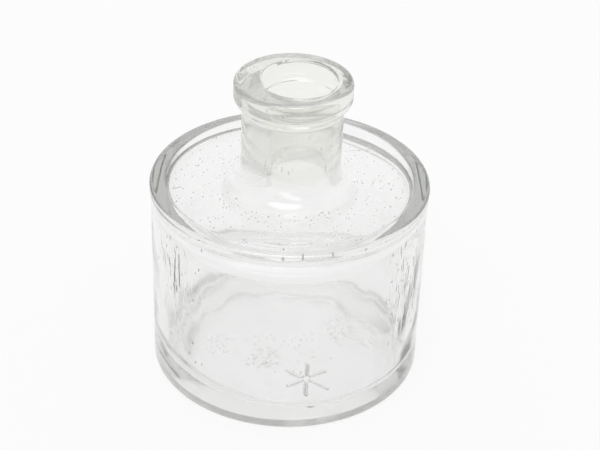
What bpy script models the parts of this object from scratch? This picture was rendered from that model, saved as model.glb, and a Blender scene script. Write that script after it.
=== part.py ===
"""Small round bottle in thick clear glass: a squat cylinder with a raised flat rim,
a sunk shoulder, a short neck and a heavy collar lip. The mouth is open.

The glass is one continuous piece on the real bottle. Here it is divided where the mould
of such a bottle divides it, into base, wall, rim, shoulder, neck and lip, so that each
region has its own solid. Metres, +Z up, origin at the middle of the underside.
"""

import math

import bmesh
import bpy

# Body
BODY_RADIUS = 0.0298
BODY_HEIGHT = 0.0448
SIDE_WALL = 0.0030

# Raised rim round the shoulder
RIM_BEAD = 0.0002
RIM_WIDTH = 0.0033
RIM_OUTER_ROUND = 0.0008
RIM_INNER_ROUND = 0.0003
RIM_BEAD_DROP = 0.0022
RIM_DEPTH = 0.0080

# Shoulder, sunk below the rim
RECESS_DEPTH = 0.0013
RECESS_DRAFT = 0.0007
RECESS_FOOT_ROUND = 0.0006
SHOULDER_THICKNESS = 0.0018
SHOULDER_EDGE_INSET = 0.0012
CAVITY_TOP_ROUND = 0.0020

# Neck and the two flares at its foot
BORE_RADIUS = 0.0078
BORE_TAPER = 0.0008
NECK_WALL = 0.0029
NECK_HEIGHT = 0.0165
FOOT_FLARE = 0.0052
BORE_FLARE = 0.0055

# Lip
LIP_HEIGHT = 0.0085
LIP_OVERHANG = 0.0018
LIP_FACE = 0.0042
LIP_UNDERCUT = 0.0022
LIP_TOP_ROUND = 0.0011
LIP_UNDER_ROUND = 0.0016
LIP_NECK_ROUND = 0.0016
MOUTH_ROUND = 0.0010
MOUTH_STEP = 0.0002
MOUTH_STEP_DEPTH = 0.0043

# Base
FLOOR_THICKNESS = 0.0017
HEEL_ROUND = 0.0010
BEARING_WIDTH = 0.0040
PUSH_UP = 0.0026
PUSH_UP_SLOPE = 0.0088
PUSH_UP_ROUND = 0.0040
CAVITY_FLOOR_ROUND = 0.0040
BASE_DEPTH = 0.0100

# Moulded mark on the underside: a plain figure of short ribs round an open middle
MARK_RIBS = 6
MARK_INNER = 0.0012
MARK_OUTER = 0.0048
MARK_RIB_WIDTH = 0.0008
MARK_RELIEF = 0.0004
MARK_ROOT = 0.0004
MARK_OFFSET = 0.0153
MARK_BEARING_DEG = -71.0

# Seam between neighbouring regions of the one glass
SEAM = 0.0003

# Fineness of the turned shapes, and how near two points are one
TURN_STEPS = 64
ARC_STEP_DEG = 22.5
SAME_POINT = 0.00001

# Levels and radii that follow from the sizes above
CAVITY_RADIUS = BODY_RADIUS - SIDE_WALL
RIM_RADIUS = BODY_RADIUS + RIM_BEAD
RIM_INNER_RADIUS = RIM_RADIUS - RIM_WIDTH
RECESS_RADIUS = RIM_INNER_RADIUS - RECESS_DRAFT
SHOULDER_LEVEL = BODY_HEIGHT - RECESS_DEPTH
CAVITY_TOP = SHOULDER_LEVEL - SHOULDER_THICKNESS
SHOULDER_EDGE = RECESS_RADIUS - SHOULDER_EDGE_INSET
LOWER_BORE_RADIUS = BORE_RADIUS - MOUTH_STEP
FOOT_BORE_RADIUS = LOWER_BORE_RADIUS - BORE_TAPER
NECK_RADIUS = BORE_RADIUS + NECK_WALL
NECK_FOOT = SHOULDER_LEVEL + FOOT_FLARE
NECK_TOP = SHOULDER_LEVEL + NECK_HEIGHT
LIP_RADIUS = NECK_RADIUS + LIP_OVERHANG
TOTAL_HEIGHT = NECK_TOP + LIP_HEIGHT
LIP_FACE_FOOT = TOTAL_HEIGHT - LIP_FACE
RIM_FOOT = BODY_HEIGHT - RIM_DEPTH
CAVITY_FLOOR = PUSH_UP + FLOOR_THICKNESS
BEARING_OUTER = BODY_RADIUS - HEEL_ROUND
BEARING_INNER = BEARING_OUTER - BEARING_WIDTH
PUSH_UP_RADIUS = BEARING_INNER - PUSH_UP_SLOPE
HALF_SEAM = SEAM / 2


def rounded_corner(before, corner, after, radius):
    """Points of the arc that rounds a corner, kept within half of each side."""
    into = (before[0] - corner[0], before[1] - corner[1])
    out = (after[0] - corner[0], after[1] - corner[1])
    into_length = math.hypot(*into)
    out_length = math.hypot(*out)
    into = (into[0] / into_length, into[1] / into_length)
    out = (out[0] / out_length, out[1] / out_length)
    opening = math.acos(into[0] * out[0] + into[1] * out[1])
    reach = min(radius / math.tan(opening / 2), into_length / 2, out_length / 2)
    radius = reach * math.tan(opening / 2)
    middle = (into[0] + out[0], into[1] + out[1])
    middle_length = math.hypot(*middle)
    away = radius / math.sin(opening / 2)
    centre = (corner[0] + middle[0] / middle_length * away, corner[1] + middle[1] / middle_length * away)
    start = math.atan2(corner[1] + into[1] * reach - centre[1], corner[0] + into[0] * reach - centre[0])
    end = math.atan2(corner[1] + out[1] * reach - centre[1], corner[0] + out[0] * reach - centre[0])
    turn = (end - start + math.pi) % math.tau - math.pi
    steps = max(1, math.ceil(abs(turn) / math.radians(ARC_STEP_DEG)))
    angles = [start + turn * step / steps for step in range(steps + 1)]
    return [(centre[0] + radius * math.cos(angle), centre[1] + radius * math.sin(angle)) for angle in angles]


def outline(corners, closed):
    """Turns (radius, height, rounding) corners into the points of a profile."""
    points = []
    count = len(corners)
    for index, (radius, height, rounding) in enumerate(corners):
        at_end = not closed and index in (0, count - 1)
        if at_end or rounding == 0:
            points.append((radius, height))
        else:
            before = corners[index - 1]
            after = corners[(index + 1) % count]
            points.extend(rounded_corner(before, (radius, height), after, rounding))
    return points


def glass(name, tint):
    """Clear pressed glass with a faint tint."""
    material = bpy.data.materials.new(name)
    material.use_nodes = True
    shader = material.node_tree.nodes["Principled BSDF"]
    shader.inputs["Base Color"].default_value = (*tint, 1.0)
    shader.inputs["Roughness"].default_value = 0.03
    shader.inputs["Metallic"].default_value = 0.0
    shader.inputs["IOR"].default_value = 1.5
    shader.inputs["Transmission Weight"].default_value = 1.0
    return material


def collection(name):
    made = bpy.data.collections.new(name)
    bpy.context.scene.collection.children.link(made)
    return made


def turned(name, corners, closed, material, parts):
    """A profile of (radius, height) points turned round the Z axis into a solid."""
    points = outline(corners, closed)
    edges = [(index, index + 1) for index in range(len(points) - 1)]
    if closed:
        edges.append((len(points) - 1, 0))
    mesh = bpy.data.meshes.new(name)
    mesh.from_pydata([(radius, 0, height) for radius, height in points], edges, [])
    mesh.materials.append(material)
    solid = bpy.data.objects.new(name, mesh)
    parts.objects.link(solid)
    screw = solid.modifiers.new("turn", "SCREW")
    screw.axis = "Z"
    screw.steps = TURN_STEPS
    screw.render_steps = TURN_STEPS
    screw.use_smooth_shade = True
    screw.use_merge_vertices = True
    screw.merge_threshold = SAME_POINT
    return solid


def make_lip(parts):
    """The collar: flat top, upright face, undercut back to the neck, slightly stepped bore."""
    bottom = NECK_TOP + HALF_SEAM
    step = TOTAL_HEIGHT - MOUTH_STEP_DEPTH
    corners = [
        (BORE_RADIUS, TOTAL_HEIGHT, MOUTH_ROUND),
        (LIP_RADIUS, TOTAL_HEIGHT, LIP_TOP_ROUND),
        (LIP_RADIUS, LIP_FACE_FOOT, LIP_UNDER_ROUND),
        (NECK_RADIUS, LIP_FACE_FOOT - LIP_UNDERCUT, LIP_NECK_ROUND),
        (NECK_RADIUS, bottom, 0),
        (LOWER_BORE_RADIUS, bottom, 0),
        (LOWER_BORE_RADIUS, step - MOUTH_STEP, 0),
        (BORE_RADIUS, step, 0),
    ]
    return turned("lip", corners, True, glass("lip_glass", (0.82, 0.85, 0.79)), parts)


def make_neck(parts):
    """The tube between the lip and the flare on the shoulder, its bore narrowing downwards."""
    top = NECK_TOP - HALF_SEAM
    bottom = NECK_FOOT + HALF_SEAM
    corners = [
        (LOWER_BORE_RADIUS, top, 0),
        (NECK_RADIUS, top, 0),
        (NECK_RADIUS, bottom, 0),
        (FOOT_BORE_RADIUS, bottom, 0),
    ]
    return turned("neck", corners, True, glass("neck_glass", (0.84, 0.86, 0.81)), parts)


def make_shoulder(parts):
    """The sunk disc, which flares up into the neck outside and into the bore inside."""
    top = NECK_FOOT - HALF_SEAM
    edge = SHOULDER_EDGE - HALF_SEAM
    corners = [
        (FOOT_BORE_RADIUS, top, 0),
        (NECK_RADIUS, top, 0),
        (NECK_RADIUS, SHOULDER_LEVEL, FOOT_FLARE),
        (edge, SHOULDER_LEVEL, 0),
        (edge, CAVITY_TOP, 0),
        (FOOT_BORE_RADIUS, CAVITY_TOP, BORE_FLARE),
    ]
    return turned("shoulder", corners, True, glass("shoulder_glass", (0.90, 0.91, 0.88)), parts)


def make_rim(parts):
    """The raised ring and the thick corner under it, from the shoulder to the side wall."""
    edge = SHOULDER_EDGE + HALF_SEAM
    bottom = RIM_FOOT + HALF_SEAM
    corners = [
        (edge, SHOULDER_LEVEL, 0),
        (RECESS_RADIUS, SHOULDER_LEVEL, RECESS_FOOT_ROUND),
        (RIM_INNER_RADIUS, BODY_HEIGHT, RIM_INNER_ROUND),
        (RIM_RADIUS, BODY_HEIGHT, RIM_OUTER_ROUND),
        (RIM_RADIUS, BODY_HEIGHT - RIM_BEAD_DROP, 0),
        (BODY_RADIUS, BODY_HEIGHT - RIM_BEAD_DROP - RIM_BEAD, 0),
        (BODY_RADIUS, bottom, 0),
        (CAVITY_RADIUS, bottom, 0),
        (CAVITY_RADIUS, CAVITY_TOP, CAVITY_TOP_ROUND),
        (edge, CAVITY_TOP, 0),
    ]
    return turned("rim", corners, True, glass("rim_glass", (0.84, 0.86, 0.84)), parts)


def make_wall(parts):
    """The plain cylinder between the rim and the base."""
    top = RIM_FOOT - HALF_SEAM
    bottom = BASE_DEPTH + HALF_SEAM
    corners = [
        (CAVITY_RADIUS, top, 0),
        (BODY_RADIUS, top, 0),
        (BODY_RADIUS, bottom, 0),
        (CAVITY_RADIUS, bottom, 0),
    ]
    return turned("body_wall", corners, True, glass("wall_glass", (0.91, 0.92, 0.90)), parts)


def underside_level(radius):
    """Height of the push-up above the bearing ring's plane at a radius within the ring."""
    return PUSH_UP * min(1, (BEARING_INNER - radius) / PUSH_UP_SLOPE)


def make_mark_ribs(helpers):
    """Short ribs round an open middle, rooted in the glass and hanging below it."""
    mesh = bpy.data.meshes.new("mark_ribs")
    ribs = bmesh.new()
    bearing = math.radians(MARK_BEARING_DEG)
    centre = (MARK_OFFSET * math.cos(bearing), MARK_OFFSET * math.sin(bearing))
    length = MARK_OUTER - MARK_INNER
    half_height = (MARK_RELIEF + MARK_ROOT) / 2
    for index in range(MARK_RIBS):
        angle = math.tau * (index + 0.5) / MARK_RIBS
        along = (MARK_INNER + MARK_OUTER) / 2
        made = bmesh.ops.create_cube(ribs, size=1)["verts"]
        for vertex in made:
            reach = along + vertex.co.x * length
            aside = vertex.co.y * MARK_RIB_WIDTH
            vertex.co.x = centre[0] + reach * math.cos(angle) - aside * math.sin(angle)
            vertex.co.y = centre[1] + reach * math.sin(angle) + aside * math.cos(angle)
            level = underside_level(math.hypot(vertex.co.x, vertex.co.y)) - MARK_RELIEF + half_height
            vertex.co.z = level + vertex.co.z * 2 * half_height
    ribs.to_mesh(mesh)
    ribs.free()
    solid = bpy.data.objects.new("mark_ribs", mesh)
    solid.hide_render = True
    solid.display_type = "WIRE"
    helpers.objects.link(solid)
    return solid


def make_base(parts, helpers):
    """Floor, heel and bearing ring, with a low push-up that carries the mark."""
    top = BASE_DEPTH - HALF_SEAM
    corners = [
        (0, CAVITY_FLOOR, 0),
        (CAVITY_RADIUS, CAVITY_FLOOR, CAVITY_FLOOR_ROUND),
        (CAVITY_RADIUS, top, 0),
        (BODY_RADIUS, top, 0),
        (BODY_RADIUS, 0, HEEL_ROUND),
        (BEARING_INNER, 0, 0),
        (PUSH_UP_RADIUS, PUSH_UP, PUSH_UP_ROUND),
        (0, PUSH_UP, 0),
    ]
    base = turned("base", corners, False, glass("base_glass", (0.90, 0.91, 0.89)), parts)
    union = base.modifiers.new("mark", "BOOLEAN")
    union.operation = "UNION"
    union.solver = "EXACT"
    union.object = make_mark_ribs(helpers)
    return base


def main():
    for existing in list(bpy.data.objects):
        bpy.data.objects.remove(existing, do_unlink=True)
    parts = collection("round_bottle")
    helpers = collection("round_bottle_helpers")
    helpers.hide_render = True
    make_base(parts, helpers)
    make_wall(parts)
    make_rim(parts)
    make_shoulder(parts)
    make_neck(parts)
    make_lip(parts)


main()
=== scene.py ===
"""Looks of the small round bottle: one continuous piece of old moulded glass.

The six solids of the frame divide the glass where a mould does. Light has to pass through the
real, undivided glass, so one closed mesh with its cavity stands for all six. It has the uneven
walls, ripples, seeds and plain moulded mark of such a bottle. Metres, +Z up, and the camera
looks along +Y.
"""

import math
import random

import bpy
import numpy as np
from mathutils import Matrix, Vector, noise


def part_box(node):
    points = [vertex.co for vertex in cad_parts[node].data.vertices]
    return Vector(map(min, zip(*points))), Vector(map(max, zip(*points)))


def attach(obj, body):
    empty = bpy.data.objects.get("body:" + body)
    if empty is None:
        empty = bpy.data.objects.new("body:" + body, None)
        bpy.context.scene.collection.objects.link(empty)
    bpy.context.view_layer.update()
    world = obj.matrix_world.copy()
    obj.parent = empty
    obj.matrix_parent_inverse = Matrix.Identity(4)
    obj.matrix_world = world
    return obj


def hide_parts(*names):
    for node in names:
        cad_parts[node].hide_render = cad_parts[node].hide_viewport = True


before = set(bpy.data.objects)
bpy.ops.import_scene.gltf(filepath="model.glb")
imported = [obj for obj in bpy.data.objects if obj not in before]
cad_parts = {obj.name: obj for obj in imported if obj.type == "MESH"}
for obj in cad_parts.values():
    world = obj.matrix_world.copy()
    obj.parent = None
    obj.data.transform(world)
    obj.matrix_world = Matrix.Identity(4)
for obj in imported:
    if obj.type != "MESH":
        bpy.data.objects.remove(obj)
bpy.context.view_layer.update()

# Sizes read from the frame
RIM_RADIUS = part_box("rim")[1][0]
BODY_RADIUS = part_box("body_wall")[1][0]
BODY_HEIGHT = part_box("rim")[1][2]
NECK_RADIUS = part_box("neck")[1][0]
LIP_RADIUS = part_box("lip")[1][0]
TOTAL_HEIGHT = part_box("lip")[1][2]

# Walls
SIDE_WALL = 0.0036
SHOULDER_THICKNESS = 0.0018
FLOOR_THICKNESS = 0.0015
NECK_WALL = 0.0029

# Rim and sunk shoulder
RIM_WIDTH = 0.0033
RIM_OUTER_ROUND = 0.0008
RIM_INNER_ROUND = 0.0007
RIM_BEAD_DROP = 0.0022
RIM_BEAD_FADE = 0.0020
RECESS_DEPTH = 0.0013
RECESS_DRAFT = 0.0007
RECESS_FOOT_ROUND = 0.0006

# Inside of the body
EAVES_WIDTH = 0.0065
EAVES_DROP = 0.0019
EAVES_BEND = 0.0200
TOP_ROUND_LEAST = 0.0004
TOP_ROUND_MOST = 0.0055
FLOOR_ROUND_LEAST = 0.0025
FLOOR_ROUND_MOST = 0.0065
FLOOR_CROWN = 0.0004
LEAST_BEND = 0.00005

# Neck and lip
FOOT_FLARE = 0.0052
BORE_FLARE = 0.0071
BORE_TAPER = 0.0014
LIP_FACE = 0.0042
LIP_UNDERCUT = 0.0022
LIP_TOP_ROUND = 0.0011
LIP_UNDER_ROUND = 0.0016
LIP_NECK_ROUND = 0.0016
MOUTH_ROUND = 0.0010
MOUTH_STEP = 0.0003
MOUTH_STEP_DEPTH = 0.0043
SOFT_EDGE = 0.0003

# Base
HEEL_ROUND = 0.0010
BEARING_WIDTH = 0.0040
PUSH_UP = 0.0026
PUSH_UP_SLOPE = 0.0088
PUSH_UP_ROUND = 0.0250

# Moulded mark under the floor
MARK_RIBS = 6
MARK_INNER = 0.0012
MARK_OUTER = 0.0048
MARK_RIB_WIDTH = 0.0006
MARK_RELIEF = 0.0009
MARK_OFFSET = 0.0153
MARK_BEARING_DEG = -71.0

# Lopsidedness: the azimuth towards which a size is largest, and how narrow its lobe there is
WALL_SWING = 0.0002
WALL_THICKEST_DEG = -30.0
FLOOR_SWING = 0.0011
FLOOR_HIGHEST_DEG = 90.0
FLOOR_ROUND_DEG = 190.0
FLOOR_ROUND_LOBE = 3
FRONT_DEG = -90.0
TOP_ROUND_LOBE = 4
EAVES_LOBE = 3
THICK_CORNER = 0.0035
THICK_CORNER_DEG = 55.0
THICK_CORNER_LOBE = 10
RECESS_SINK = 0.0008
RECESS_SINK_LOBE = 4
LIP_SHIFT = 0.0002
BORE_SHIFT = 0.0013

# Ripples of the surfaces
INNER_RIPPLE = 0.00030
INNER_RIPPLE_WIDTH = 0.011
INNER_RIPPLE_STRETCH = 1.8
INNER_RIPPLE_OCTAVES = 2
NECK_RIPPLE_SHARE = 0.15
OUTER_RIPPLE = 0.00002
OUTER_RIPPLE_WIDTH = 0.008
RIPPLE_MIDDLE_FADE = 0.004
RIPPLE_FOOT_FADE = 0.002
INNER_NOISE_SHIFT = 3.1
OUTER_NOISE_SHIFT = 7.7
NOISE_FALL = 1.0
NOISE_FINER = 2.0

# Seeds (small bubbles) by place: count, azimuths in degrees, radii, heights, whether upright
SEED = 41
SEED_PLACES = [
    (320, (0, 360), (0.0125, 0.0262), (0.0421, 0.0425), True),
    (60, (316, 352), (0.0274, 0.0290), (0.012, 0.040), True),
    (34, (196, 238), (0.0274, 0.0290), (0.010, 0.041), True),
    (14, (60, 120), (0.0274, 0.0290), (0.010, 0.038), True),
    (50, (180, 360), (0.0030, 0.0140), (0.0030, 0.0032), False),
    (12, (190, 330), (0.0088, 0.0100), (0.050, 0.060), False),
    (9, (180, 350), (0.0097, 0.0112), (0.0615, 0.0665), False),
]
SEED_WIDTH_LEAST = 0.00026
SEED_WIDTH_MOST = 0.00050
SEED_STRETCH_MOST = 2.6
SEED_SIDES = 8
SEED_BANDS = 6

# Drawn-out bubbles: place, length, heading in degrees (None stands upright), width
STREAKS = [
    ((-0.0094, -0.0034, 0.0495), 0.0018, None, 0.00040),
    ((-0.0050, -0.0087, 0.0524), 0.0020, None, 0.00042),
    ((-0.0017, -0.0099, 0.0527), 0.0014, None, 0.00034),
    ((-0.0003, -0.0100, 0.0520), 0.0012, None, 0.00032),
    ((0.0070, -0.0070, 0.0515), 0.0017, None, 0.00042),
    ((0.0030, -0.0286, 0.0436), 0.0012, None, 0.00040),
    ((0.0089, -0.0274, 0.0436), 0.0009, None, 0.00036),
    ((0.0166, 0.0162, 0.0424), 0.0100, 15, 0.00040),
    ((-0.0240, -0.0030, 0.0425), 0.0026, 24, 0.00030),
    ((-0.0205, -0.0150, 0.0424), 0.0028, -38, 0.00034),
    ((-0.0178, -0.0182, 0.0424), 0.0024, -42, 0.00036),
    ((-0.0150, -0.0205, 0.0424), 0.0032, -30, 0.00030),
    ((-0.0118, -0.0224, 0.0424), 0.0020, -26, 0.00036),
]

# Chill marks on the inside: azimuth and half width in degrees, lowest and highest level, share
CHILL_PATCHES = [
    (213, 12, 0.010, 0.042, 0.05),
    (213, 4, 0.023, 0.038, 0.35),
    (336, 16, 0.014, 0.042, 0.09),
]
CHILL_FADE_DEG = 8.0
CHILL_FADE = 0.005
CHILL_WALL_FADE = 0.001

# The same on the cavity's floor: centre, radius, share
FLOOR_PATCHES = [
    ((-0.0050, -0.0094), 0.0045, 1.0),
    ((-0.0142, -0.0044), 0.0045, 0.9),
    ((0.0140, 0.0010), 0.0070, 1.0),
]

# Relief of the chill marks, and of the faint grain everywhere
CHILL_SCALE = (800, 800, 200)
CHILL_FROM = 0.50
CHILL_TO = 0.72
CHILL_DEPTH = 0.00045
GRAIN_SCALE = 420.0
GRAIN_SHARE = 0.012

# Fineness of the mesh
SEGMENTS = 512
ARC_STEP = 0.00030
ARC_STEP_DEG = 9.0
RUN_STEP = 0.0009
MARK_STEP = 0.00016
PLAN_STEP_DEG = 15

# Most of a side that one corner's arc may take: the arcs at its two ends can still overlap
ARC_SHARE = 0.75

# Levels and radii that follow
CAVITY_RADIUS = BODY_RADIUS - SIDE_WALL
RIM_INNER_RADIUS = RIM_RADIUS - RIM_WIDTH
RECESS_RADIUS = RIM_INNER_RADIUS - RECESS_DRAFT
SHOULDER_LEVEL = BODY_HEIGHT - RECESS_DEPTH
CAVITY_TOP = SHOULDER_LEVEL - SHOULDER_THICKNESS
BORE_RADIUS = NECK_RADIUS - NECK_WALL
LOWER_BORE_RADIUS = BORE_RADIUS - MOUTH_STEP
LIP_FACE_FOOT = TOTAL_HEIGHT - LIP_FACE
MOUTH_STEP_LEVEL = TOTAL_HEIGHT - MOUTH_STEP_DEPTH
CAVITY_FLOOR = PUSH_UP + FLOOR_THICKNESS
BEARING_INNER = BODY_RADIUS - HEEL_ROUND - BEARING_WIDTH

# Camera, fitted to the photograph's outlines of rim, lip, mouth, walls and heel
FRAME_WIDTH_PX = 600
FOCAL_PX = 1520.9
SENSOR_MM = 36.0
CAMERA_DISTANCE = 11.2232 * RIM_RADIUS
CAMERA_AIM_HEIGHT = 0.8 * RIM_RADIUS
CAMERA_ELEVATION_DEG = 34.3817
CAMERA_PAN_DEG = 0.4282
CAMERA_TILT_DEG = 1.2275
CAMERA_ROLL_DEG = 1.7108
CAMERA_CLIP = 0.01

# Glass
GLASS_IOR = 1.5
NECK_TINT = (0.953, 0.958, 0.928)
TINT_START = 0.0478
TINT_FULL = 0.0492
ABSORB_COLOR = (0.50, 0.515, 0.48)
ABSORB_DENSITY = 20.0
INNER_ROUGHNESS = 0.10
OUTER_ROUGHNESS = 0.02
CORNER_ROUGHNESS = 0.18
CORNER_DEPTH = 0.0060
CORNER_WIDTH = 0.0030
WORN_ROUGHNESS = 0.12
WORN_HEIGHT = 0.0025
MARK_ROUGHNESS = 0.60

# Studio
FLOOR_HALF_WIDTH = 3.0
FLOOR_GAP = 0.00005
FLOOR_WHITE = 0.9
FLOOR_SHARE_SEEN = 0.90
FLOOR_SHARE_IN_GLASS = 0.84
BACKDROP_WHITE = 0.975
WORLD_BY_DEPTH = [(0.0, 0.4), (0.3, 0.65), (0.6, 0.97), (1.0, 0.97)]
KEY_ELEVATION_DEG = 57.0
KEY_PAN_DEG = 14.0
KEY_STRETCH = 1.8
KEY_HALF_WIDTH_DEG = 11.0
KEY_EDGE_DEG = 6.0
KEY_STRENGTH = 3.5

# Light bounces, enough for light that runs along inside the glass
BOUNCES = 40
GLOSSY_BOUNCES = 24
DIFFUSE_BOUNCES = 6


def swing(azimuth, toward_deg):
    """1 at the azimuth named and -1 across from it."""
    return math.cos(azimuth - math.radians(toward_deg))


def lobe(azimuth, toward_deg, power):
    """1 at the azimuth named, falling to 0 across from it, the faster the higher the power."""
    return (0.5 + 0.5 * swing(azimuth, toward_deg)) ** power


def glass_corners(azimuth):
    """(radius, height, rounding) of the section at an azimuth: from the middle of the cavity's
    floor, up the inside, over the lip and down the outside to the middle of the underside."""
    inner = CAVITY_RADIUS - WALL_SWING * swing(azimuth, WALL_THICKEST_DEG)
    floor_edge = CAVITY_FLOOR + FLOOR_SWING * swing(azimuth, FLOOR_HIGHEST_DEG)
    floor_spread = FLOOR_ROUND_MOST - FLOOR_ROUND_LEAST
    floor_round = FLOOR_ROUND_LEAST + floor_spread * lobe(azimuth, FLOOR_ROUND_DEG, FLOOR_ROUND_LOBE)
    top_spread = TOP_ROUND_MOST - TOP_ROUND_LEAST
    top_round = TOP_ROUND_LEAST + top_spread * lobe(azimuth, FRONT_DEG, TOP_ROUND_LOBE)
    top_round += THICK_CORNER * lobe(azimuth, THICK_CORNER_DEG, THICK_CORNER_LOBE)
    sink = RECESS_SINK * lobe(azimuth, THICK_CORNER_DEG, RECESS_SINK_LOBE)
    eaves = EAVES_DROP * lobe(azimuth, FRONT_DEG, EAVES_LOBE) + LEAST_BEND
    return [
        (0, CAVITY_FLOOR + FLOOR_CROWN, 0),
        (inner, floor_edge, floor_round),
        (inner, CAVITY_TOP - eaves, top_round),
        (inner - EAVES_WIDTH, CAVITY_TOP, EAVES_BEND),
        (LOWER_BORE_RADIUS - BORE_TAPER, CAVITY_TOP, BORE_FLARE),
        (LOWER_BORE_RADIUS, MOUTH_STEP_LEVEL - MOUTH_STEP, SOFT_EDGE),
        (BORE_RADIUS, MOUTH_STEP_LEVEL, SOFT_EDGE),
        (BORE_RADIUS, TOTAL_HEIGHT, MOUTH_ROUND),
        (LIP_RADIUS, TOTAL_HEIGHT, LIP_TOP_ROUND),
        (LIP_RADIUS, LIP_FACE_FOOT, LIP_UNDER_ROUND),
        (NECK_RADIUS, LIP_FACE_FOOT - LIP_UNDERCUT, LIP_NECK_ROUND),
        (NECK_RADIUS, SHOULDER_LEVEL, FOOT_FLARE),
        (RECESS_RADIUS, SHOULDER_LEVEL - sink, RECESS_FOOT_ROUND),
        (RIM_INNER_RADIUS, BODY_HEIGHT, RIM_INNER_ROUND),
        (RIM_RADIUS, BODY_HEIGHT, RIM_OUTER_ROUND),
        (RIM_RADIUS, BODY_HEIGHT - RIM_BEAD_DROP, SOFT_EDGE),
        (BODY_RADIUS, BODY_HEIGHT - RIM_BEAD_DROP - RIM_BEAD_FADE, SOFT_EDGE),
        (BODY_RADIUS, 0, HEEL_ROUND),
        (BEARING_INNER, 0, SOFT_EDGE),
        (BEARING_INNER - PUSH_UP_SLOPE, PUSH_UP, PUSH_UP_ROUND),
        (0, PUSH_UP, 0),
    ]


# The corner of that section at which the inside ends
MOUTH_CORNER = 7


def corner_arc(before, corner, after):
    """Centre, radius, start angle and turn of the arc that rounds a corner, kept within
    ARC_SHARE of each side."""
    rounding = corner[2]
    before, corner, after = (np.array(point[:2], float) for point in (before, corner, after))
    into = before - corner
    out = after - corner
    into_length = np.hypot(*into)
    out_length = np.hypot(*out)
    into /= into_length
    out /= out_length
    opening = math.acos(float(np.clip(into @ out, -1, 1)))
    reach = min(rounding / math.tan(opening / 2), ARC_SHARE * into_length, ARC_SHARE * out_length)
    radius = reach * math.tan(opening / 2)
    middle = into + out
    centre = corner + middle / np.hypot(*middle) * radius / math.sin(opening / 2)
    start = math.atan2(*(corner + into * reach - centre)[::-1])
    end = math.atan2(*(corner + out * reach - centre)[::-1])
    return centre, radius, start, (end - start + math.pi) % math.tau - math.pi


def step_plan():
    """Steps of each corner's arc, enough where it is widest, and of the run that follows it."""
    plan = []
    for azimuth in np.radians(range(0, 360, PLAN_STEP_DEG)):
        corners = glass_corners(azimuth)
        steps = []
        for index, corner in enumerate(corners[:-1]):
            arc_steps = 0
            if corner[2]:
                _, radius, _, turn = corner_arc(*corners[index - 1:index + 2])
                by_length = math.ceil(abs(turn) * radius / ARC_STEP)
                by_angle = math.ceil(abs(turn) / math.radians(ARC_STEP_DEG))
                arc_steps = max(2, by_length, by_angle)
            run = math.dist(corner[:2], corners[index + 1][:2])
            run_step = MARK_STEP if index == len(corners) - 2 else RUN_STEP
            steps.append((arc_steps, max(2, math.ceil(run / run_step))))
        plan.append(steps)
    return np.max(plan, axis=0)


def glass_outline(azimuth, plan):
    """(radius, height) points of the section, and the index where the outside begins."""
    corners = glass_corners(azimuth)
    points = []
    outside = 0
    for index, corner in enumerate(corners):
        if corner[2]:
            centre, radius, start, turn = corner_arc(*corners[index - 1:index + 2])
            steps = plan[index][0]
            angles = start + turn * np.arange(steps + 1) / steps
            arc = centre + radius * np.stack([np.cos(angles), np.sin(angles)], axis=1)
        else:
            arc = np.array([corner[:2]])
        if index:
            last = points[-1]
            run = plan[index - 1][1]
            shares = np.arange(1, run)[:, None] / run
            points.extend(last + (arc[0] - last) * shares)
        if index == MOUTH_CORNER:
            outside = len(points) + len(arc)
        points.extend(arc)
    return np.array(points), outside


def smooth_step(low, high, value):
    share = np.clip((value - low) / (high - low), 0, 1)
    return share * share * (3 - 2 * share)


def noise_field(points, width, stretch, octaves, shift):
    """Smooth noise in about -1 to 1 at each point, drawn out by stretch along Z."""
    offset = Vector((shift, -shift, 2 * shift))
    scaled = points / np.array([width, width, width * stretch])
    return np.array([
        noise.fractal(Vector(point) + offset, NOISE_FALL, NOISE_FINER, octaves) for point in scaled
    ])


def mark_relief(points):
    """How far the moulded mark stands out below the push-up at each point."""
    bearing = math.radians(MARK_BEARING_DEG)
    x = points[:, 0] - MARK_OFFSET * math.cos(bearing)
    y = points[:, 1] - MARK_OFFSET * math.sin(bearing)
    relief = np.zeros(len(points))
    for index in range(MARK_RIBS):
        angle = math.tau * (index + 0.5) / MARK_RIBS
        along = x * math.cos(angle) + y * math.sin(angle)
        aside = y * math.cos(angle) - x * math.sin(angle)
        past = along - np.clip(along, MARK_INNER, MARK_OUTER)
        away = np.hypot(past, aside) / (MARK_RIB_WIDTH / 2)
        relief = np.maximum(relief, np.exp(-away ** 2))
    return MARK_RELIEF * relief


def turned_points():
    """Points of the uneven glass ring by ring, the outward direction at each, and which rings
    are inside."""
    plan = step_plan()
    points = []
    outward = []
    for segment in range(SEGMENTS):
        azimuth = math.tau * segment / SEGMENTS
        outline, outside = glass_outline(azimuth, plan)
        slope = np.gradient(outline, axis=0)
        slope /= np.hypot(slope[:, 0], slope[:, 1])[:, None]
        round_about = np.array([[math.cos(azimuth), math.sin(azimuth), 0], [0, 0, 1]])
        points.append(outline @ round_about)
        outward.append(np.stack([-slope[:, 1], slope[:, 0]], axis=1) @ round_about)
    is_inner = np.arange(len(outline)) < outside
    return np.stack(points, axis=1), np.stack(outward, axis=1), is_inner


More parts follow.
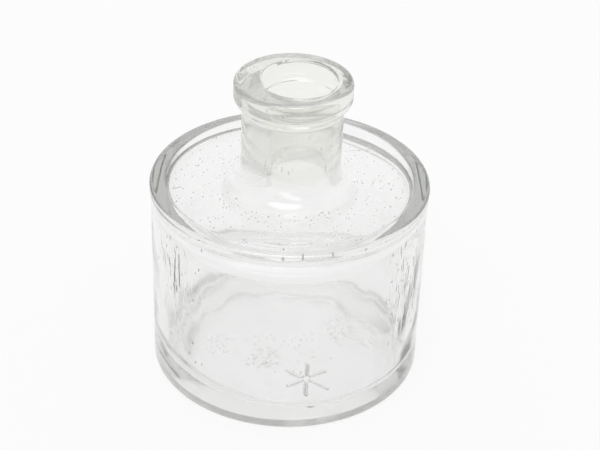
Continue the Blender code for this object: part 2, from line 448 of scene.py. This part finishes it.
def uneven(points, outward, is_inner):
    """Moves the points as a hand-finished bottle departs from a true turned form."""
    rings, segments = points.shape[:2]
    flat = points.reshape(-1, 3)
    along = outward.reshape(-1, 3)
    inner = np.repeat(is_inner, segments)
    height = flat[:, 2]
    radius = np.hypot(flat[:, 0], flat[:, 1])
    middle = smooth_step(0, RIPPLE_MIDDLE_FADE, radius)
    ripple = np.zeros(len(flat))

    # The inside ripples most in the body and not at all in the mouth
    waves = noise_field(
        flat[inner], INNER_RIPPLE_WIDTH, INNER_RIPPLE_STRETCH, INNER_RIPPLE_OCTAVES, INNER_NOISE_SHIFT
    )
    in_body = 1 - smooth_step(CAVITY_TOP - BORE_FLARE, CAVITY_TOP, height[inner])
    below_mouth = 1 - smooth_step(MOUTH_STEP_LEVEL - LIP_FACE, MOUTH_STEP_LEVEL, height[inner])
    share = NECK_RIPPLE_SHARE + (1 - NECK_RIPPLE_SHARE) * in_body
    ripple[inner] = INNER_RIPPLE * waves * share * middle[inner] * below_mouth

    # The outside only sinks, so that it stays within the bottle's outline
    waves = noise_field(flat[~inner], OUTER_RIPPLE_WIDTH, 1.0, 1, OUTER_NOISE_SHIFT)
    above_foot = smooth_step(0, RIPPLE_FOOT_FADE, height[~inner])
    ripple[~inner] = OUTER_RIPPLE * (waves - 1) * middle[~inner] * above_foot
    moved = flat + along * ripple[:, None]

    # The lip and the bore lie off the axis, and the mark stands out below the push-up
    above = smooth_step(SHOULDER_LEVEL, LIP_FACE_FOOT, height)
    moved[:, 0] += LIP_SHIFT * above
    moved[inner, 0] += BORE_SHIFT * smooth_step(CAVITY_TOP, CAVITY_TOP + BORE_FLARE, height[inner])
    underside = ~inner & (height < PUSH_UP + SOFT_EDGE) & (radius < BEARING_INNER)
    moved[underside, 2] -= mark_relief(flat[underside])
    return moved.reshape(rings, segments, 3)


def dullness(points, is_inside):
    """Roughness of the glass: polished outside, dulled inside and most so in the upper corner,
    worn where the bottle stands, and matt on the moulded mark."""
    radius = np.hypot(points[:, 0], points[:, 1])
    height = points[:, 2]
    corner = smooth_step(CAVITY_TOP - CORNER_DEPTH, CAVITY_TOP - CORNER_DEPTH / 2, height)
    corner *= smooth_step(CAVITY_RADIUS - CORNER_WIDTH, CAVITY_RADIUS, radius)
    within = INNER_ROUGHNESS + (CORNER_ROUGHNESS - INNER_ROUGHNESS) * corner
    worn = 1 - smooth_step(0, WORN_HEIGHT, height)
    without = OUTER_ROUGHNESS + (WORN_ROUGHNESS - OUTER_ROUGHNESS) * worn
    mark = mark_relief(points) / MARK_RELIEF * (height < PUSH_UP + SOFT_EDGE)
    without += (MARK_ROUGHNESS - without) * mark
    return np.where(is_inside, within, without)


def chill(points, is_inside):
    """Share of the chill marks' bump at each point."""
    radius = np.hypot(points[:, 0], points[:, 1])
    height = points[:, 2]
    azimuth = np.degrees(np.arctan2(points[:, 1], points[:, 0])) % 360
    on_wall = smooth_step(CAVITY_RADIUS - 2 * CHILL_WALL_FADE, CAVITY_RADIUS - CHILL_WALL_FADE, radius)
    share = np.zeros(len(points))
    for toward, half, low, high, most in CHILL_PATCHES:
        away = np.abs((azimuth - toward + 180) % 360 - 180)
        patch = 1 - smooth_step(half - CHILL_FADE_DEG / 2, half + CHILL_FADE_DEG / 2, away)
        patch *= smooth_step(low, low + CHILL_FADE, height)
        patch *= 1 - smooth_step(high - CHILL_FADE, high, height)
        share = np.maximum(share, most * patch * on_wall)
    on_floor = height < CAVITY_FLOOR + FLOOR_SWING + FLOOR_CROWN
    for (x, y), reach, most in FLOOR_PATCHES:
        away = np.hypot(points[:, 0] - x, points[:, 1] - y)
        share = np.maximum(share, most * on_floor * (1 - smooth_step(reach / 2, reach, away)))
    return share * is_inside


def bubble(place, axis, length, width):
    """Points and faces of a closed bubble, facing the air in it as the glass's surface faces
    the air round it."""
    place = Vector(place)
    axis = Vector(axis).normalized()
    side = axis.orthogonal().normalized()
    other = axis.cross(side)
    points = [place + axis * (length / 2)]
    for band in range(1, SEED_BANDS):
        tilt = math.pi * band / SEED_BANDS
        middle = place + axis * (math.cos(tilt) * length / 2)
        for step in range(SEED_SIDES):
            turn = math.tau * step / SEED_SIDES
            across = side * math.cos(turn) + other * math.sin(turn)
            points.append(middle + across * (math.sin(tilt) * width / 2))
    points.append(place - axis * (length / 2))
    faces = []
    for step in range(SEED_SIDES):
        after = (step + 1) % SEED_SIDES
        faces.append((0, 1 + after, 1 + step))
        for band in range(SEED_BANDS - 2):
            upper = 1 + band * SEED_SIDES
            lower = upper + SEED_SIDES
            faces.append((upper + step, upper + after, lower + after, lower + step))
        low = 1 + (SEED_BANDS - 2) * SEED_SIDES
        faces.append((len(points) - 1, low + step, low + after))
    return [tuple(point) for point in points], faces


def bubbles():
    """The seeds scattered through the glass, and the drawn-out ones at their places."""
    chance = random.Random(SEED)
    found = []
    for count, azimuths, radii, heights, upright in SEED_PLACES:
        for _ in range(count):
            azimuth = math.radians(chance.uniform(*azimuths))
            radius = chance.uniform(*radii)
            place = (radius * math.cos(azimuth), radius * math.sin(azimuth), chance.uniform(*heights))
            width = SEED_WIDTH_LEAST + (SEED_WIDTH_MOST - SEED_WIDTH_LEAST) * chance.random() ** 2
            heading = chance.uniform(0, math.tau)
            axis = (math.cos(heading), math.sin(heading), 0)
            if upright:
                axis = (0, 0, 1)
            found.append(bubble(place, axis, width * chance.uniform(1, SEED_STRETCH_MOST), width))
    for place, length, heading, width in STREAKS:
        axis = (0, 0, 1)
        if heading is not None:
            axis = (math.cos(math.radians(heading)), math.sin(math.radians(heading)), 0)
        found.append(bubble(place, axis, length, width))
    return found


def bottle_mesh():
    points, outward, is_inner = turned_points()
    points = uneven(points, outward, is_inner)
    rings = len(points)
    flat = [tuple(points[0, 0])]
    flat += [tuple(point) for ring in points[1:-1] for point in ring]
    flat.append(tuple(points[-1, 0]))
    last = len(flat) - 1
    faces = []
    for ring in range(rings - 1):
        for segment in range(SEGMENTS):
            after = (segment + 1) % SEGMENTS
            upper = 1 + (ring - 1) * SEGMENTS
            lower = 1 + ring * SEGMENTS
            if ring == 0:
                faces.append((lower + segment, lower + after, 0))
            elif ring == rings - 2:
                faces.append((last, upper + after, upper + segment))
            else:
                faces.append((lower + segment, lower + after, upper + after, upper + segment))
    for places, sides in bubbles():
        faces += [tuple(len(flat) + corner for corner in side) for side in sides]
        flat += places
    mesh = bpy.data.meshes.new("bottle_glass")
    mesh.from_pydata(flat, [], faces)
    is_inside = np.arange(len(flat)) < 1 + (int(is_inner.sum()) - 1) * SEGMENTS
    for name, values in (("dull", dullness), ("chill", chill)):
        attribute = mesh.attributes.new(name, "FLOAT", "POINT")
        attribute.data.foreach_set("value", values(np.array(flat), is_inside).astype(np.float32))
    mesh.update()
    mesh.shade_smooth()
    return mesh


def glass_material():
    material = bpy.data.materials.new("old_clear_glass")
    material.use_nodes = True
    tree = material.node_tree
    shader = tree.nodes["Principled BSDF"]
    shader.inputs["IOR"].default_value = GLASS_IOR
    shader.inputs["Transmission Weight"].default_value = 1.0

    # The neck and lip are of slightly darker, yellower gather
    place = tree.nodes.new("ShaderNodeTexCoord")
    split = tree.nodes.new("ShaderNodeSeparateXYZ")
    tree.links.new(place.outputs["Object"], split.inputs[0])
    rise = tree.nodes.new("ShaderNodeMapRange")
    rise.interpolation_type = "SMOOTHSTEP"
    rise.inputs["From Min"].default_value = TINT_START
    rise.inputs["From Max"].default_value = TINT_FULL
    tree.links.new(split.outputs["Z"], rise.inputs["Value"])
    tint = tree.nodes.new("ShaderNodeMixRGB")
    tint.inputs[1].default_value = (1, 1, 1, 1)
    tint.inputs[2].default_value = (*NECK_TINT, 1)
    tree.links.new(rise.outputs[0], tint.inputs[0])
    tree.links.new(tint.outputs[0], shader.inputs["Base Color"])

    dull = tree.nodes.new("ShaderNodeAttribute")
    dull.attribute_name = "dull"
    tree.links.new(dull.outputs["Fac"], shader.inputs["Roughness"])

    # Streaked chill marks in patches, over a faint grain everywhere
    stretch = tree.nodes.new("ShaderNodeVectorMath")
    stretch.operation = "MULTIPLY"
    stretch.inputs[1].default_value = CHILL_SCALE
    tree.links.new(place.outputs["Object"], stretch.inputs[0])
    streaks = tree.nodes.new("ShaderNodeTexNoise")
    streaks.inputs["Scale"].default_value = 1.0
    streaks.inputs["Detail"].default_value = 1.0
    tree.links.new(stretch.outputs["Vector"], streaks.inputs["Vector"])
    cut = tree.nodes.new("ShaderNodeMapRange")
    cut.name = "chill_cut"
    cut.interpolation_type = "SMOOTHSTEP"
    cut.inputs["From Min"].default_value = CHILL_FROM
    cut.inputs["From Max"].default_value = CHILL_TO
    tree.links.new(streaks.outputs["Fac"], cut.inputs["Value"])
    patch = tree.nodes.new("ShaderNodeAttribute")
    patch.attribute_name = "chill"
    marks = tree.nodes.new("ShaderNodeMath")
    marks.operation = "MULTIPLY"
    tree.links.new(cut.outputs[0], marks.inputs[0])
    tree.links.new(patch.outputs["Fac"], marks.inputs[1])
    grain = tree.nodes.new("ShaderNodeTexNoise")
    grain.inputs["Scale"].default_value = GRAIN_SCALE
    grain.inputs["Detail"].default_value = 1.0
    tree.links.new(place.outputs["Object"], grain.inputs["Vector"])
    relief = tree.nodes.new("ShaderNodeMath")
    relief.operation = "MULTIPLY_ADD"
    relief.inputs[1].default_value = GRAIN_SHARE
    tree.links.new(grain.outputs["Fac"], relief.inputs[0])
    tree.links.new(marks.outputs[0], relief.inputs[2])
    bump = tree.nodes.new("ShaderNodeBump")
    bump.name = "chill_bump"
    bump.inputs["Strength"].default_value = 1.0
    bump.inputs["Distance"].default_value = CHILL_DEPTH
    tree.links.new(relief.outputs[0], bump.inputs["Height"])
    tree.links.new(bump.outputs[0], shader.inputs["Normal"])

    absorb = tree.nodes.new("ShaderNodeVolumeAbsorption")
    absorb.inputs["Color"].default_value = (*ABSORB_COLOR, 1)
    absorb.inputs["Density"].default_value = ABSORB_DENSITY
    tree.links.new(absorb.outputs["Volume"], tree.nodes["Material Output"].inputs["Volume"])
    return material


def turned(first, second, angle):
    """Two directions at right angles, turned by the angle from the first towards the second."""
    return (
        first * math.cos(angle) + second * math.sin(angle),
        second * math.cos(angle) - first * math.sin(angle),
    )


def add_camera():
    elevation, pan, tilt, roll = (
        math.radians(angle)
        for angle in (CAMERA_ELEVATION_DEG, CAMERA_PAN_DEG, CAMERA_TILT_DEG, CAMERA_ROLL_DEG)
    )
    place = Vector((
        0,
        -CAMERA_DISTANCE * math.cos(elevation),
        CAMERA_DISTANCE * math.sin(elevation) + CAMERA_AIM_HEIGHT,
    ))
    ahead = Vector((0, math.cos(elevation), -math.sin(elevation)))
    right = Vector((1, 0, 0))
    up = right.cross(ahead)
    ahead, right = turned(ahead, right, pan)
    ahead, up = turned(ahead, up, tilt)
    right, up = turned(right, up, roll)
    camera = bpy.data.objects.new("camera", bpy.data.cameras.new("camera"))
    camera.matrix_world = Matrix((
        (right.x, up.x, -ahead.x, place.x),
        (right.y, up.y, -ahead.y, place.y),
        (right.z, up.z, -ahead.z, place.z),
        (0, 0, 0, 1),
    ))
    camera.data.sensor_width = SENSOR_MM
    camera.data.lens = FOCAL_PX * SENSOR_MM / FRAME_WIDTH_PX
    camera.data.clip_start = CAMERA_CLIP
    bpy.context.scene.collection.objects.link(camera)
    bpy.context.scene.camera = camera


def add_floor():
    material = bpy.data.materials.new("white_floor")
    material.use_nodes = True
    tree = material.node_tree
    shader = tree.nodes["Principled BSDF"]
    shader.inputs["Base Color"].default_value = (FLOOR_WHITE, FLOOR_WHITE, FLOOR_WHITE, 1)
    shader.inputs["Roughness"].default_value = 1.0
    shader.inputs["Specular IOR Level"].default_value = 0.0
    glow = tree.nodes.new("ShaderNodeEmission")
    glow.inputs["Color"].default_value = (BACKDROP_WHITE, BACKDROP_WHITE, BACKDROP_WHITE, 1)

    # White as seen by the camera, less so in gloss and through glass
    path = tree.nodes.new("ShaderNodeLightPath")
    larger = tree.nodes.new("ShaderNodeMath")
    larger.operation = "MAXIMUM"
    tree.links.new(path.outputs["Is Glossy Ray"], larger.inputs[0])
    tree.links.new(path.outputs["Is Transmission Ray"], larger.inputs[1])
    in_glass = tree.nodes.new("ShaderNodeMath")
    in_glass.name = "in_glass"
    in_glass.operation = "MULTIPLY"
    in_glass.inputs[1].default_value = FLOOR_SHARE_IN_GLASS
    tree.links.new(larger.outputs[0], in_glass.inputs[0])
    seen = tree.nodes.new("ShaderNodeMath")
    seen.name = "seen"
    seen.operation = "MULTIPLY_ADD"
    seen.inputs[1].default_value = FLOOR_SHARE_SEEN
    tree.links.new(path.outputs["Is Camera Ray"], seen.inputs[0])
    tree.links.new(in_glass.outputs[0], seen.inputs[2])
    mix = tree.nodes.new("ShaderNodeMixShader")
    tree.links.new(seen.outputs[0], mix.inputs[0])
    tree.links.new(shader.outputs[0], mix.inputs[1])
    tree.links.new(glow.outputs[0], mix.inputs[2])
    tree.links.new(mix.outputs[0], tree.nodes["Material Output"].inputs["Surface"])
    mesh = bpy.data.meshes.new("floor")
    half = FLOOR_HALF_WIDTH
    corners = [(-half, -half), (half, -half), (half, half), (-half, half)]
    mesh.from_pydata([(x, y, -FLOOR_GAP) for x, y in corners], [], [(0, 1, 2, 3)])
    mesh.materials.append(material)
    floor = bpy.data.objects.new("floor", mesh)
    bpy.context.scene.collection.objects.link(floor)


def add_world():
    """A white studio, darker behind the camera, with one soft wide key light high on that side."""
    world = bpy.data.worlds.new("studio")
    bpy.context.scene.world = world
    world.use_nodes = True
    tree = world.node_tree
    place = tree.nodes.new("ShaderNodeTexCoord")
    split = tree.nodes.new("ShaderNodeSeparateXYZ")
    tree.links.new(place.outputs["Generated"], split.inputs[0])

    spread = tree.nodes.new("ShaderNodeMapRange")
    spread.inputs["From Min"].default_value = -1
    tree.links.new(split.outputs["Y"], spread.inputs["Value"])
    depth = tree.nodes.new("ShaderNodeValToRGB")
    depth.name = "by_depth"
    depth.color_ramp.interpolation = "EASE"
    stops = depth.color_ramp.elements
    while len(stops) < len(WORLD_BY_DEPTH):
        stops.new(1)
    for stop, (position, level) in zip(stops, WORLD_BY_DEPTH):
        stop.position = position
        stop.color = (level, level, level, 1)
    tree.links.new(spread.outputs[0], depth.inputs[0])

    elevation = math.radians(KEY_ELEVATION_DEG)
    pan = math.radians(KEY_PAN_DEG)
    middle = Vector((
        -math.sin(pan) * math.cos(elevation) / KEY_STRETCH,
        -math.cos(pan) * math.cos(elevation),
        math.sin(elevation),
    ))
    narrowed = tree.nodes.new("ShaderNodeVectorMath")
    narrowed.operation = "MULTIPLY"
    narrowed.inputs[1].default_value = (1 / KEY_STRETCH, 1, 1)
    tree.links.new(place.outputs["Generated"], narrowed.inputs[0])
    unit = tree.nodes.new("ShaderNodeVectorMath")
    unit.operation = "NORMALIZE"
    tree.links.new(narrowed.outputs["Vector"], unit.inputs[0])
    toward = tree.nodes.new("ShaderNodeVectorMath")
    toward.operation = "DOT_PRODUCT"
    toward.inputs[1].default_value = middle.normalized()
    tree.links.new(unit.outputs["Vector"], toward.inputs[0])
    spot = tree.nodes.new("ShaderNodeMapRange")
    spot.name = "key"
    spot.interpolation_type = "SMOOTHSTEP"
    spot.inputs["From Min"].default_value = math.cos(math.radians(KEY_HALF_WIDTH_DEG + KEY_EDGE_DEG))
    spot.inputs["From Max"].default_value = math.cos(math.radians(KEY_HALF_WIDTH_DEG))
    spot.inputs["To Max"].default_value = KEY_STRENGTH
    tree.links.new(toward.outputs["Value"], spot.inputs["Value"])
    lit = tree.nodes.new("ShaderNodeMixRGB")
    lit.blend_type = "ADD"
    lit.inputs[0].default_value = 1
    tree.links.new(depth.outputs[0], lit.inputs[1])
    tree.links.new(spot.outputs[0], lit.inputs[2])

    path = tree.nodes.new("ShaderNodeLightPath")
    choose = tree.nodes.new("ShaderNodeMixRGB")
    tree.links.new(path.outputs["Is Camera Ray"], choose.inputs[0])
    tree.links.new(lit.outputs[0], choose.inputs[1])
    choose.inputs[2].default_value = (BACKDROP_WHITE, BACKDROP_WHITE, BACKDROP_WHITE, 1)
    tree.links.new(choose.outputs[0], tree.nodes["Background"].inputs["Color"])


def main():
    bottle = bpy.data.objects.new("bottle_glass", bottle_mesh())
    bottle.data.materials.append(glass_material())
    bpy.context.scene.collection.objects.link(bottle)
    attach(bottle, "root")
    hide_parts("lip", "neck", "shoulder", "rim", "body_wall", "base")
    add_floor()
    add_world()
    add_camera()
    scene = bpy.context.scene
    scene.view_settings.view_transform = "Standard"
    scene.cycles.max_bounces = BOUNCES
    scene.cycles.transmission_bounces = BOUNCES
    scene.cycles.glossy_bounces = GLOSSY_BOUNCES
    scene.cycles.diffuse_bounces = DIFFUSE_BOUNCES


main()
